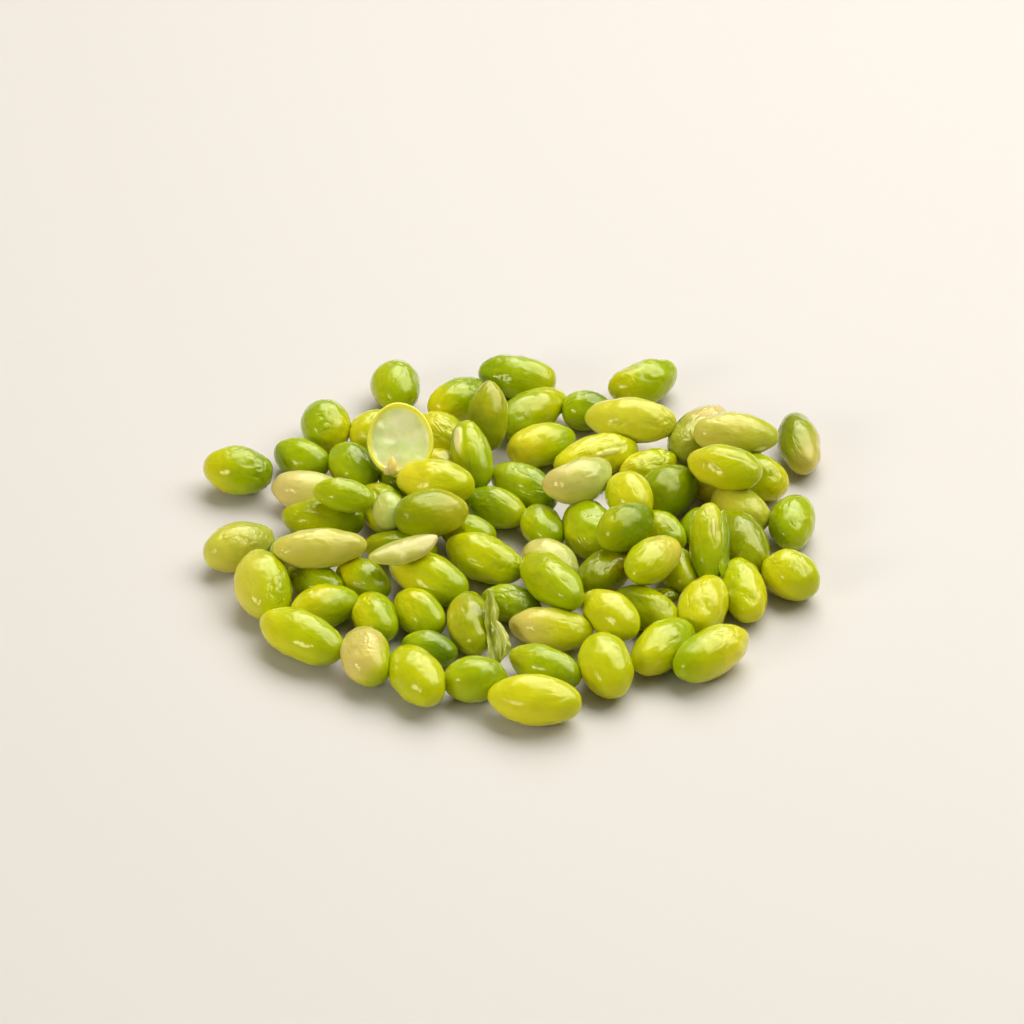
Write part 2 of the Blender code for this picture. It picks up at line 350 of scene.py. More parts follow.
# %% The palette, in linear light: unripe, usual and ripe tone of each skin
SKINS = {
    "green_skin": ((0.18, 0.29, 0.0), (0.43, 0.53, 0.001), (0.73, 0.67, 0.004)),
    "dark_green_skin": ((0.085, 0.15, 0.0), (0.24, 0.34, 0.0), (0.49, 0.53, 0.001)),
    "yellow_green_skin": ((0.36, 0.47, 0.0), (0.60, 0.63, 0.002), (0.83, 0.74, 0.020)),
    "yellow_skin": ((0.54, 0.59, 0.002), (0.74, 0.71, 0.012), (0.88, 0.75, 0.070)),
    "olive_skin": ((0.18, 0.24, 0.0), (0.38, 0.43, 0.001), (0.70, 0.59, 0.030)),
    "pale_seed_leaf": ((0.50, 0.59, 0.140), (0.66, 0.64, 0.150), (0.82, 0.64, 0.210)),
}
PALE_TONE = (0.78, 0.63, 0.20, 1)
SCAR_COLOUR = (0.88, 0.80, 0.32, 1)
SEAM_COLOUR = (0.72, 0.56, 0.12, 1)
SPECK_COLOUR = (0.36, 0.09, 0.02, 1)
LIGHT_REACH = (1.0, 0.85, 0.20)  # red and green go deeper into a bean than blue
GLOSS_TINT = (1.0, 0.94, 0.45, 1)  # the water on the skin takes up its yellow
WAVES = 2 * math.pi / 1.2  # fine ripples lie 1.2 mm apart


def blended(tree, share, first, second):
    """Mixes two colours, each a Field or a plain colour."""
    made = add_node(
        tree,
        "ShaderNodeMix",
        {0: share, 6: first, 7: second},
        data_type="RGBA",
        clamp_factor=True,
    )
    return Field(tree, made.outputs[2])


def read(tree, name, output="Fac"):
    """What a geometry tree or a mesh stored under this name."""
    made = add_node(tree, "ShaderNodeAttribute", attribute_name=name)
    return Field(tree, made.outputs[output])


def wet_material(name, glow, coat, roughness):
    """A Principled material of soft, wet food, ready for its colour."""
    made = bpy.data.materials.new(name)
    made.use_nodes = True
    shader = made.node_tree.nodes["Principled BSDF"]
    for title, value in {
        "Subsurface Weight": glow,
        "Subsurface Radius": LIGHT_REACH,
        "Subsurface Scale": 1.8 * MM,
        "Specular Tint": GLOSS_TINT,
        "Coat Weight": coat,
        "Coat Roughness": 0.03,
        "Coat IOR": 1.33,
        "Roughness": roughness,
        "IOR": 1.33,
    }.items():
        shader.inputs[title].default_value = value
    return made, made.node_tree, shader


def finish(tree, shader, colour, height, depth):
    """Links the colour, and the height of the finest relief, which is `depth` metres."""
    tree.links.new(colour.socket, shader.inputs["Base Color"])
    made = add_node(tree, "ShaderNodeBump", {"Height": height})
    made.inputs["Strength"].default_value = 1.0
    made.inputs["Distance"].default_value = depth
    for title in ("Normal", "Coat Normal"):
        tree.links.new(made.outputs[0], shader.inputs[title])


def skin_material(name):
    unripe, usual, ripe = [(*tone, 1) for tone in SKINS[name]]
    film = 0.2 if name == "dark_green_skin" else 0.45
    made, tree, shader = wet_material(name, 0.7, film, 0.2)
    place = read(tree, "bean_place", "Vector")
    crease = read(tree, "crease")
    mottle = place.noise(0.6, 4.0, 0.6) - 0.5
    streaks = place.scaled((0.15, 1.0, 1.0)).noise(1.5, 3.0, 0.6, 0.3) - 0.5
    tone = read(tree, "ripe") + mottle * 0.18 + streaks * 0.15
    colour = blended(tree, tone.ramp(0.0, 0.5), unripe, usual)
    colour = blended(tree, tone.ramp(0.5, 1.0), colour, ripe)
    colour = blended(tree, read(tree, "pale"), colour, PALE_TONE)
    # painted shade: the skin is darkened a little towards its unripe tone along the creases
    colour = blended(tree, crease * 0.14, colour, unripe)
    colour = blended(tree, read(tree, "seam") * 0.7, colour, SEAM_COLOUR)
    colour = blended(tree, read(tree, "scar"), colour, SCAR_COLOUR)
    colour = blended(tree, read(tree, "speck") * 0.9, colour, SPECK_COLOUR)
    rough = place.noise(0.5, 3.0).ramp(0.3, 0.7, 0.08, 0.17)
    tree.links.new(rough.socket, shader.inputs["Roughness"])
    ripples = place.scaled((0.5, 1.0, 1.0)).creases(0.42, 0.2, detail=1.0, warp=0.7)
    patches = place.noise(0.22, 1.0).ramp(0.42, 0.58, 0.15, 1.0)
    fine = place.scaled((0.6, 1.0, 1.0)).creases(0.85, 0.3, detail=0.0, warp=0.5)
    slack = read(tree, "slack")
    height = place.noise(0.5, 2.0) * 1.15 - ripples * patches * (slack * 0.5 + 0.4)
    height = height - fine * patches * (slack * 0.35 + 0.15)
    along = place.parts()[0] + (place.noise(0.3, 1.0) - 0.5) * 4.0
    waves = (along * WAVES).math("SINE") * place.noise(0.55, 1.0).ramp(0.4, 0.6)
    height = height + waves * read(tree, "ripple") * 0.45
    finish(tree, shader, colour, height, 0.13 * MM)
    return made


skins = {name: skin_material(name) for name in SKINS}
print("skins:", ", ".join(skins))

# %% [markdown]
# ## Reading each bean's place from the model
# A node's mesh holds its place, and not as a location and a turn. A bean's two ends are its
# farthest points, and across its length it is wider than thick. Its slimmer end and the flatter
# side with the seam tell which way each axis points.


# %% The pose and the size of a packed bean
SOLID_THICKNESS = 0.975  # of the full thickness, which the solid's flat faces cut down


def node_points(node):
    mesh = frame["nodes"][node].data
    return np.unique(np.round([vert.co for vert in mesh.vertices], 7), axis=0)


def pose_of(node):
    """A bean's own three axes, its core, and its length, width and thickness, in metres."""
    points = node_points(node)
    middle = points.mean(axis=0)
    thick, wide, long = np.linalg.eigh(np.cov((points - middle).T))[1].T
    along = (points - middle) @ long
    tips = points[along.argmin()], points[along.argmax()]
    long = (tips[1] - tips[0]) / np.linalg.norm(tips[1] - tips[0])
    core = (tips[0] + tips[1]) / 2

    # The far end is the slim one, and the seam is on the side that is nearer the core
    along = (points - core) @ long
    if (along * (((points - core) ** 2).sum(axis=1) - along**2)).sum() > 0:
        long = -long
    wide = wide - long * (wide @ long)
    wide = wide / np.linalg.norm(wide)
    across = (points - core) @ wide
    if across.max() < -across.min():
        wide = -wide
    axes = np.array((long, wide, np.cross(long, wide)))
    size = np.ptp((points - core) @ axes.T, axis=0)
    return axes, core, size / (1, SEAM_SIDE, SOLID_THICKNESS)


def as_matrix(axes, place):
    made = Matrix(np.column_stack(axes)).to_4x4()
    made.translation = Vector(place)
    return made


poses = {name: pose_of(name) for name in frame["nodes"] if name.startswith("bean_")}
print("longest bean in mm:", round(max(size[0] for _, _, size in poses.values()) / MM, 1))

# %% [markdown]
# ## Each bean's character
# Ripeness runs from 0 to 1 and moves towards one side of the bean. Wrinkles have a depth and a
# place, and a few beans have a dent, a visible seam or a pointed tip. Sides are given as seen
# from the front of the heap, and are turned into the bean's own directions when it is grown.
# `long` and `wide` make a bean a little larger or smaller than its solid, and `move` shifts it
# across, back and up, in millimetres. What a row leaves out keeps the usual value.

# %% The table of characters
LEFT = (-1, 0, 0)
RIGHT = (1, 0, 0)
UP = (0, 0, 1)
UP_LEFT = (-1, 0, 1)
UP_RIGHT = (1, 0, 1)
LOW_LEFT = (-1, -0.4, -0.5)
LOW_RIGHT = (1, -0.4, -0.5)

CHARACTERS = {
    "left_1": dict(ripe=0.55, change=0.35, wrinkle=0.2, at=UP_RIGHT, ripple=0.5, blunt=1, move=(-0.6, 0)),
    "left_2": dict(
        ripe=0.35, side=LOW_LEFT, pale=0.32, wrinkle=0.12, at=UP_RIGHT, reach=-0.1, size=1.1, ripple=0.4,
        move=(-0.3, -1.0),
    ),
    "left_3": dict(
        change=0.3, pale_side=0.25, wrinkle=0.14, at=UP_RIGHT, seam=LEFT, wide=1.14, move=(0.6, -0.8),
    ),
    "left_4": dict(
        ripe=0.45, change=0.3, wrinkle=0.03, reach=0.4, ripple=0.25, long=1.06, wide=0.95,
        move=(1.0, -0.2),
    ),
    "left_5": dict(
        ripe=0.6, side=UP_LEFT, change=0.3, wrinkle=0.06, kidney=0.15, wide=1.05, move=(-1.3, -0.7),
    ),
    "left_6": dict(ripe=0.6, side=LOW_RIGHT, wrinkle=0.14, at=UP_RIGHT, reach=0.0, size=1.1, ripple=1.1),
    "left_7": dict(ripe=0.7, change=0.2, wrinkle=0.03, seam=(0, -1, -0.3), move=(-0.4, 0)),
    "left_8": dict(ripe=0.8, side=UP_LEFT, change=0.3, wrinkle=0.1, reach=0.3),
    "front_1": dict(
        ripe=0.75, side=UP_LEFT, change=0.2, pale_side=0.75, wrinkle=0.09, reach=0.3, ripple=1.5,
        point=0.3, move=(0.8, 0),
    ),
    "front_2": dict(
        ripe=0.45, side=UP, change=0.15, wrinkle=0.05, far_tip=0.02, long=0.97, move=(-0.1, 1.5),
    ),
    "front_3": dict(
        change=0.2, wrinkle=0.03, near_tip=0.01, far_tip=0.09, long=0.95, wide=0.97, move=(-0.4, -0.9),
    ),
    "front_4": dict(ripe=0.4, change=0.15, wrinkle=0.02, long=0.93, wide=0.93, move=(-1.1, 0)),
    "front_5": dict(change=0.2, wrinkle=0.06, near_tip=0.03, far_tip=0.05, move=(0.6, 0)),
    "front_6": dict(
        ripe=0.45, change=0.3, pale_side=0.6, wrinkle=0.13, size=1.8, run=0.6, ripple=0.3, long=0.94,
        move=(0.4, 0),
    ),
    "front_7": dict(ripe=0.55, side=LOW_LEFT, change=0.15, wrinkle=0.06, long=0.9, move=(0, 1.2)),
    "front_8": dict(ripe=0.6, change=0.15, wrinkle=0.12, reach=0.6),
    "front_9": dict(
        ripe=0.6, side=UP_LEFT, change=0.2, wrinkle=0.06, near_tip=0, far_tip=0.07, move=(0, -0.5),
    ),
    "front_10": dict(
        ripe=0.4, side=LOW_LEFT, change=0.3, wrinkle=0.1, at=UP_RIGHT, run=0.5, move=(0.6, -0.2),
    ),
    "front_11": dict(side=RIGHT, change=0.4, wrinkle=0.12, at=UP_RIGHT, run=1.6, move=(-0.3, 0.8)),
    "right_1": dict(ripe=0.9, side=RIGHT, change=0.15, wrinkle=0.12, ripple=0.4, move=(0.4, -0.5)),
    "right_2": dict(ripe=0.6, side=UP, change=0.2, dent=0.25, dent_at=(-0.1, -1, 0.5), move=(0.5, -1.2)),
    "right_3": dict(
        ripe=0.55, side=RIGHT, change=0.2, wrinkle=0.15, size=1.3, ripple=0.3, blunt=1, move=(-0.9, 0.4),
    ),
    "right_4": dict(
        ripe=0.2, change=0.2, wrinkle=0.12, reach=0.3, ripple=0.4, far_tip=0.09, move=(-0.7, 0),
    ),
    "right_5": dict(side=RIGHT, change=0.15, wrinkle=0.09, at=UP_RIGHT, ripple=0.4, move=(-0.4, 0)),
    "right_6": dict(
        ripe=0.45, side=LOW_LEFT, change=0.2, wrinkle=0.12, at=RIGHT, run=0.35, wide=1.1,
        move=(0.3, -0.6),
    ),
    "right_7": dict(
        ripe=0.7, side=RIGHT, change=0.15, wrinkle=0.12, size=1.4, seam=(0.5, -1, -0.2), long=0.86,
        move=(-1.7, 0),
    ),
    "right_8": dict(side=LOW_RIGHT, pale_side=0.45, wrinkle=0.03),
    "right_9": dict(
        ripe=0.65, side=(1, 1, 0.6), pale=0.15, pale_side=0.75, wrinkle=0.15, reach=-0.2, size=1.1,
        ripple=0.1,
    ),
    "right_10": dict(
        ripe=0.6, side=UP_LEFT, change=0.12, wrinkle=0.04, blunt=1, long=1.03, wide=1.03, move=(0, -0.9),
    ),
    "back_1": dict(
        ripe=0.6, change=0.2, wrinkle=0.2, reach=0.3, size=1.7, ripple=0.1, kidney=-0.3, dent=0.7,
        dent_at=(-0.7, 0.2, 0.65), wide=1.05, move=(0.8, -0.4),
    ),
    "back_2": dict(
        ripe=0.4, change=0.2, wrinkle=0.2, reach=0.0, size=1.1, run=0.7, scar=0.7,
        scar_at=(0.6, -0.5, 0.6), scar_size=1.6, move=(0.2, 0.3),
    ),
    "back_3": dict(
        ripe=0.55, side=UP_RIGHT, change=0.2, wrinkle=0.1, kidney=0.12, long=1.08, move=(-0.4, 0),
    ),
    "back_4": dict(ripe=0.35, side=(-1, -0.3, 1), change=0.6, wrinkle=0.06),
    "back_5": dict(
        side=RIGHT, change=0.2, wrinkle=0.12, size=1.3, blunt=1, long=0.95, wide=1.04, move=(0, -0.9),
    ),
    "back_6": dict(ripe=0.6, side=LOW_LEFT, change=0.4, wrinkle=0.16, kidney=-0.22),
    "back_7": dict(change=0.2, wrinkle=0.16, at=UP_RIGHT, size=1.3, wide=1.03, move=(0, -1.7)),
    "middle_1": dict(change=0.4, wrinkle=0.06, dent=0.3, dent_at=LOW_LEFT, move=(-0.6, -1.2)),
    "middle_2": dict(side=UP_RIGHT, change=0.12, wrinkle=0.1, reach=-0.2, speck_at=(0.85, 0.1, 0.4)),
    "middle_3": dict(
        ripe=0.55, side=LOW_LEFT, change=0.2, wrinkle=0.18, size=1.5, blunt=1, long=1.02, wide=1.08,
        move=(0, -0.5),
    ),
    "middle_4": dict(ripe=0.4, change=0.3, wrinkle=0.16, at=UP_RIGHT, reach=0.1),
    "middle_5": dict(
        ripe=0.45, change=0.2, wrinkle=0.16, at=UP_RIGHT, size=1.2, ripple=0.5, move=(-0.7, 0.3),
    ),
    "top_1": dict(
        ripe=0.4, side=UP_LEFT, change=0.2, pale=0.22, pale_side=0.3, wrinkle=0.05, near_tip=-0.08,
        scar=0.9, scar_at=(0.8, -0.55, -0.2), scar_size=1.4, move=(0, -0.6),
    ),
    "top_2": dict(
        ripe=0.6, side=LOW_LEFT, change=0.35, wrinkle=0.04, run=0.4, ripple=0.05, seam=(0, -0.35, 1),
        long=0.97, move=(-0.3, 1.6),
    ),
    "top_3": dict(
        ripe=0.35, change=0.15, pale=0.15, wrinkle=0.22, at=(0.2, -0.6, 0.7), reach=0.4, size=1.4,
        run=0.3, ripple=0.1,
    ),
    "top_4": dict(
        change=0.3, wrinkle=0.03, reach=0.1, size=0.9, ripple=0.05, kidney=-0.4, dent=1.2,
        dent_at=(-0.7, 0.2, 0.65), dent_size=0.42, long=0.95, move=(0.3, -0.5, 0.2),
    ),
    "top_5": dict(ripe=0.6, side=UP, change=0.15, wrinkle=0.04, move=(-0.6, 0)),
    "top_6": dict(ripe=0.65, change=0.3, wrinkle=0.06, seam=LEFT),
    "top_7": dict(
        ripe=0.6, side=(1, 1, 0.4), pale_side=0.35, wrinkle=0.05, near_tip=0.05, far_tip=0.12, wide=0.96,
    ),
    "top_8": dict(
        side=UP, change=0.3, scar=0.8, scar_at=(0.2, -0.1, 1), scar_size=1.3, wide=0.9, move=(-1.2, -0.9),
    ),
    "top_9": dict(ripe=0.62, side=UP_LEFT, change=0.15, wrinkle=0.03, long=0.96, wide=0.96),
    "top_10": dict(
        side=UP_LEFT, change=0.2, wrinkle=0.07, at=UP_LEFT, size=1.3, ripple=0.1, long=1.06, wide=0.95,
        move=(0, 0.3),
    ),
    "top_11": dict(side=UP, change=0.2, wrinkle=0.03, far_tip=0.05, long=0.86, move=(0, 1.2, 2.0)),
    "top_12": dict(
        ripe=0.12, side=UP_LEFT, change=0.2, wrinkle=0.05, scar=1.0, scar_at=(-0.62, 0.32, 0.66),
        scar_size=3.0, long=0.95, move=(0, 1.2),
    ),
    "top_13": dict(ripe=0.75, change=0.3, wrinkle=0.12, reach=0.3, size=1.2, wide=1.1, move=(0, 1.2, 1.4)),
    "top_14": dict(ripe=0.55, side=RIGHT, change=0.2, wrinkle=0.05, reach=0.5, move=(0, 1.0)),
    "top_15": dict(side=UP_LEFT, change=0.15, wrinkle=0.12, long=0.9, wide=0.86, move=(0, -1.2)),
    "top_16": dict(side=LOW_LEFT, change=0.2, pale=0.55, wrinkle=0.05, near_tip=-0.08, move=(0, -1.2)),
}
print("rows:", len(CHARACTERS), "shifted:", sum("move" in row for row in CHARACTERS.values()))

# %% Shift the beans whose rows say so
for name, (axes, core, size) in poses.items():
    move = CHARACTERS[name.removeprefix("bean_")].get("move", (0, 0))
    shift = np.array((*move, 0)[:3]) * MM  # a move of two numbers stays level
    poses[name] = (axes, core + shift, size)

# %% From a row of the table to the tree's inputs
WRINKLE_DEPTH = 0.6 * MM  # of a row with wrinkle=1
WORDS = {  # the words of a row that set an input of the tree as they are
    "ripe": "Ripeness",
    "change": "Ripe change",
    "pale": "Pale",
    "pale_side": "Pale side",
    "reach": "Wrinkle reach",
    "run": "Wrinkle run",
    "size": "Wrinkle size",
    "ripple": "Ripple show",
    "dent_size": "Dent size",
    "scar": "Scar show",
    "scar_size": "Scar size",
    "point": "Point",
    "kidney": "Kidney",
}


def turned(direction, pose):
    """The spot of a bean's own ball where its skin faces this way."""
    axes, _, size = pose
    spot = (axes @ np.array(direction, float)) * size
    return tuple(float(value) for value in spot / np.linalg.norm(spot))


def spot(direction, pose):
    """The spot of a bean's own ball that lies in this direction from its core."""
    way = (pose[0] @ np.array(direction, float)) / pose[2]
    return tuple(float(value) for value in way / np.linalg.norm(way))


def inputs_for(pose, character):
    """The bean tree's inputs for one row of the table."""
    get = character.get
    blunt = -0.10 if get("blunt") else -0.05
    seam_axes = turned(get("seam", UP), pose)
    flat = math.hypot(seam_axes[1], seam_axes[2])
    plain = {title: get(word, BEAN_NUMBERS[title]) for word, title in WORDS.items()}
    return plain | {
        "Ripe side": turned(get("side", LEFT), pose),
        "Wrinkle depth": get("wrinkle", 0.08) * WRINKLE_DEPTH,
        "Wrinkle place": turned(get("at", UP), pose),
        "Dent depth": get("dent", 0.0) * MM,
        "Dent place": spot(get("dent_at", UP), pose),
        "Seam show": 1.0 if "seam" in character else 0.0,
        "Seam place": (0.0, seam_axes[1] / flat, seam_axes[2] / flat),
        "Scar place": spot(get("scar_at"), pose) if "scar_at" in character else USUAL_SCAR,
        "Speck show": 1.0 if "speck_at" in character else 0.0,
        "Speck place": spot(get("speck_at", UP), pose),
        "Near tip": get("near_tip", blunt),
        "Far tip": get("far_tip", blunt),
        "Uneven": get("uneven", 0.9) * MM,
        "Points": get("points", EDGE_POINTS),
    }


# %% [markdown]
# ## Growing one bean
# A modifier's inputs are set by each socket's identifier. Its result is turned into a plain
# mesh, so that the finished piece carries no live nodes, and is then moved to its place.

# %% From the tree to a finished piece
SWELL = 0.7 * MM  # cooked beans touch, so each is grown over the gap that the model keeps
socket_ids = {item.name: item.identifier for item in bean_tree.interface.items_tree}


def in_scene(name, data):
    """A new object that holds this data, linked to the scene."""
    made = bpy.data.objects.new(name, data)
    bpy.context.scene.collection.objects.link(made)
    return made


def finished(name, mesh, replaced=()):
    """Makes the mesh a piece of the object."""
    mesh.name = name
    piece = in_scene(name, mesh)
    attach(piece, "root")
    for node in replaced:
        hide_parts(node)
    return piece


def grow_bean(name, pose, slot, character, seed, replaced=()):
    """A bean of this pose and character, lifted where it would sink into the floor."""
    axes, core, size = pose
    holder = in_scene("holder", bpy.data.meshes.new("holder"))
    modifier = holder.modifiers.new("bean", "NODES")
    modifier.node_group = bean_tree
    values = inputs_for(pose, character)
    long, wide = character.get("long", 1.0), character.get("wide", 1.0)
    size = size * (long, wide, wide) + SWELL
    values["Length"], values["Width"], values["Thickness"] = [float(side) for side in size]
    values["Seed"] = float(seed)
    values["Skin"] = skins[slot]
    for title, value in values.items():
        modifier[socket_ids[title]] = value
    graph = bpy.context.evaluated_depsgraph_get()
    mesh = bpy.data.meshes.new_from_object(
        holder.evaluated_get(graph), preserve_all_data_layers=True, depsgraph=graph
    )
    bpy.data.objects.remove(holder)
    mesh.transform(as_matrix(axes, core))
    lowest = min(vert.co.z for vert in mesh.vertices)
    mesh.transform(Matrix.Translation((0, 0, max(0.0, -lowest))))
    return finished(name, mesh, replaced)


# %% Grow the beans that the model holds
beans = []
for number, (name, pose) in enumerate(poses.items(), start=1):
    place_name = name.removeprefix("bean_")
    character = CHARACTERS[place_name]
    bean = grow_bean("skin_" + place_name, pose, slot_of[name], character, number, [name])
    beans.append(bean)
print("beans:", len(beans), "triangles:", 2 * sum(len(bean.data.polygons) for bean in beans))

# %% [markdown]
# ## The small beans in between
# More beans lie on the floor under and between the others, and only parts of them show. They
# are small, and the model keeps places free for them instead of counting them as solids. Each is
# given a place, and is then eased out of its neighbours until it hardly sinks into them.

# %% The table of small beans: x, y, heading, length and width in millimetres and degrees
SMALL_BEANS = (
    (-39, -8, 170, 11, 7, "pale_seed_leaf", dict(ripe=0.3, side=RIGHT)),
    (-35, -19, 145, 11, 7, "green_skin", dict(wrinkle=0.16)),
    (-14.5, -37, 160, 10, 6.5, "green_skin", dict(ripe=0.25, wrinkle=0.04)),
    (9.8, -12.4, 130, 12, 9, "pale_seed_leaf", dict(wrinkle=0.06, ripple=0.05)),
    (35, 15, 120, 10, 7, "olive_skin", dict(ripe=0.9, run=0.4)),
    (24.2, 23.2, 35, 12, 7, "yellow_green_skin", dict(ripe=0.6, wrinkle=0.25, run=0.6)),
    (6, 2.2, 110, 11, 7.5, "green_skin", dict(ripe=0.45, wrinkle=0.1)),
    (13, 41, 0, 9, 8, "green_skin", dict(ripe=0.25, wrinkle=0.14)),
    (-29.5, 31.5, 60, 10, 8.5, "yellow_green_skin", dict(ripe=0.55)),
    (-14, 31, 130, 12, 8.5, "yellow_green_skin", dict(ripe=0.7, wrinkle=0.25, run=0.3)),
    (-14, 21, 140, 10, 7, "yellow_green_skin", dict(ripe=0.9, wrinkle=0.2)),
    (-24, 6, 120, 13.5, 8.5, "green_skin", dict(ripe=0.6, wrinkle=0.25, run=0.3)),
    (-2.5, 7.5, 150, 12, 7.5, "green_skin", dict(ripe=0.45, side=RIGHT)),
    (-8, -1.5, 150, 11, 7, "green_skin", dict(ripe=0.6, change=0.3)),
    (-20, -7, 170, 13, 7, "green_skin", dict(wrinkle=0.12)),
    (0, -22, 155, 11, 7, "green_skin", dict(ripe=0.35, wrinkle=0.2)),
    (28, 2, 120, 10.5, 7.5, "green_skin", dict(ripe=0.65, wrinkle=0.12)),
    (34, 4, 90, 9, 6.5, "green_skin", dict(ripe=0.35)),
    (31, -9, 105, 12, 7, "yellow_green_skin", dict(ripe=0.4)),
    (40.5, 9, 135, 12.5, 8.5, "yellow_green_skin", dict(ripe=0.6, pale=0.2, wrinkle=0.06)),
    (-23, 17, 145, 10, 7, "dark_green_skin", dict()),
    (-27, -16, 140, 11, 7.5, "green_skin", dict(ripe=0.62, change=0.35)),
    (-39, 22, 150, 11, 7.6, "green_skin", dict(ripe=0.35, side=UP_LEFT, change=0.2)),
    (-30, 19, 120, 12, 8.6, "green_skin", dict(ripe=0.4, side=LOW_LEFT)),
    (-23.5, -26.4, 105, 12, 7.8, "green_skin", dict(ripe=0.65, wrinkle=0.1)),
)
THICKNESS = 0.88  # over the width
SMALL_SEEDS = 100  # the seeds of the small beans follow this one


def ball_points(count=240):
    """Points spread evenly on a ball of radius 1."""
    step = np.arange(count) + 0.5
    height = 1 - 2 * step / count
    turn = step * math.pi * (1 + math.sqrt(5))
    ring = np.sqrt(1 - height**2)
    return np.column_stack((ring * np.cos(turn), ring * np.sin(turn), height))


BALL = ball_points()


def sunk(pose, other):
    """How deep the one bean is inside the other, in metres, and 0 if it is clear."""
    axes, core, size = pose
    other_axes, other_core, other_size = other
    if np.linalg.norm(core - other_core) > (size[0] + other_size[0]) / 2:
        return 0.0
    skin = core + (BALL * size / 2) @ axes
    inside = np.linalg.norm(((skin - other_core) @ other_axes.T) / (other_size / 2), axis=1)
    return max(0.0, float((1 - inside.min()) * other_size[2] / 2))


def lying(x, y, heading, length, width):
    """The pose of a bean that lies flat on the floor."""
    turn = math.radians(heading)
    axes = np.array(Matrix.Rotation(-turn, 3, "Z"))
    core = np.array((x, y, THICKNESS * width / 2)) * MM
    return axes, core, np.array((length, width, THICKNESS * width)) * MM


def eased(small, fixed, rounds=40):
    """The small beans, moved sideways out of each other and of those that stay."""
    small = [list(pose) for pose in small]
    for _ in range(rounds):
        for pose in small:
            for other in fixed + [tuple(p) for p in small if p is not pose]:
                depth = sunk(pose, other)
                way = (pose[1] - other[1]) * (1, 1, 0)
                pose[1] = pose[1] + way / (np.linalg.norm(way) + 1e-9) * depth * 0.3
    return [tuple(pose) for pose in small]


# %% Ease them into their places and grow them
placed = list(poses.values())
small_poses = eased([lying(*row[:5]) for row in SMALL_BEANS], placed)
for number, (row, pose) in enumerate(zip(SMALL_BEANS, small_poses), start=1):
    grow_bean(f"small_bean_{number}", pose, *row[5:], SMALL_SEEDS + number)
deepest = max(sunk(pose, other) for pose in small_poses for other in placed)
print("small beans:", len(small_poses), "deepest overlap in mm:", round(deepest / MM, 2))

# %% [markdown]
# ## The opened bean and the loose seed leaf
# One bean fell open, and shows its pale cut face inside a raised yellow rim, with the germ at
# the edge. Another seed leaf lies on its own, thin and bowed. Both are one shape: rings of points
# from the middle of the upper face, over the rim, to the middle of the underside. So a list of
# radii and heights, as for turning on a lathe, is enough, and noise makes them uneven.


# %% Rings of points from a profile
CUT_SWELL = 0.6 * MM  # as SWELL, for the two cut pieces
FACE_DEPTH = 0.05 * MM  # points this near the highest one are on the flat face


def cut_pose(node):
    """The axes of a piece with one flat face, the face's middle, and the piece's size."""
    mesh = frame["nodes"][node].data
    areas = {}
    for face in mesh.polygons:
        key = tuple(round(part, 1) for part in face.normal)
        areas[key] = areas.get(key, 0) + face.area
    flat = max(areas, key=areas.get)
    ups = [f.normal * f.area for f in mesh.polygons if tuple(round(p, 1) for p in f.normal) == flat]
    up = np.array(sum(ups, Vector()).normalized())
    points = node_points(node)
    height = points @ up
    rim = points[height > height.max() - FACE_DEPTH]
    middle = rim.mean(axis=0)
    long = np.linalg.eigh(np.cov((rim - middle).T))[1][:, -1]
    long = long - up * (long @ up)
    long = long / np.linalg.norm(long)
    if (((rim - middle) @ long) ** 3).sum() < 0:
        long = -long
    axes = np.array((long, np.cross(up, long), up))
    local = (points - middle) @ axes.T
    centre = middle + axes[:2].T @ (local[:, :2].max(axis=0) + local[:, :2].min(axis=0)) / 2
    return axes, centre, np.ptp(local, axis=0)


def mesh_from(shape, name):
    mesh = bpy.data.meshes.new(name)
    shape.to_mesh(mesh)
    shape.free()
    return mesh


def ringed_mesh(name, profile, shape_at, around=96):
    """A closed mesh of rings. shape_at gives each point its place, from radius, angle, height."""
    shape = bmesh.new()
    marks = {title: shape.verts.layers.float.new(title) for title in ("rim", "hull", "ripe")}
    rings = []
    for radius, height, rim, hull in profile:
        count = 1 if radius == 0 else around
        ring = []
        for step in range(count):
            angle = 2 * math.pi * step / around
            place, ripe = shape_at(radius, angle, height)
            vert = shape.verts.new(place)
            vert[marks["rim"]] = rim
            vert[marks["hull"]] = hull
            vert[marks["ripe"]] = ripe
            ring.append(vert)
        rings.append(ring)
    for inner, outer in zip(rings, rings[1:]):
        for step in range(around):
            corners = []
            for ring, at in ((inner, step), (outer, step), (outer, step + 1), (inner, step + 1)):
                vert = ring[at % len(ring)]
                if vert not in corners:
                    corners.append(vert)
            shape.faces.new(corners).smooth = True
    return mesh_from(shape, name)


def bumps(place, scale, seed):
    """Smooth noise from -1 to 1 at a place in metres, with features about 1 / scale mm wide."""
    return noise.noise(Vector(place) * (scale / MM) + Vector((seed, seed * 2.3, 0)))


# %% The finish of a cut face: pale and moist, yellow at the rim, green on the outside
def cut_material():
    made, tree, shader = wet_material("cut_seed_leaf", 0.8, 0.8, 0.1)
    geometry = add_node(tree, "ShaderNodeTexCoord")
    place = Field(tree, geometry.outputs["Object"]).scaled((1 / MM,) * 3)
    cloud = place.noise(0.35, 3.0, 0.6)
    face = blended(tree, cloud.ramp(0.4, 0.65), (0.92, 0.98, 0.52, 1), (0.80, 0.90, 0.40, 1))
    colour = blended(tree, read(tree, "rim"), face, (0.90, 0.82, 0.08, 1))
    colour = blended(tree, read(tree, "hull"), colour, (0.50, 0.54, 0.05, 1))
    colour = blended(tree, read(tree, "ripe"), colour, (0.68, 0.54, 0.22, 1))
    finish(tree, shader, colour, place.noise(0.6, 2.0), 0.15 * MM)
    return made


skins["cut_seed_leaf"] = cut_material()


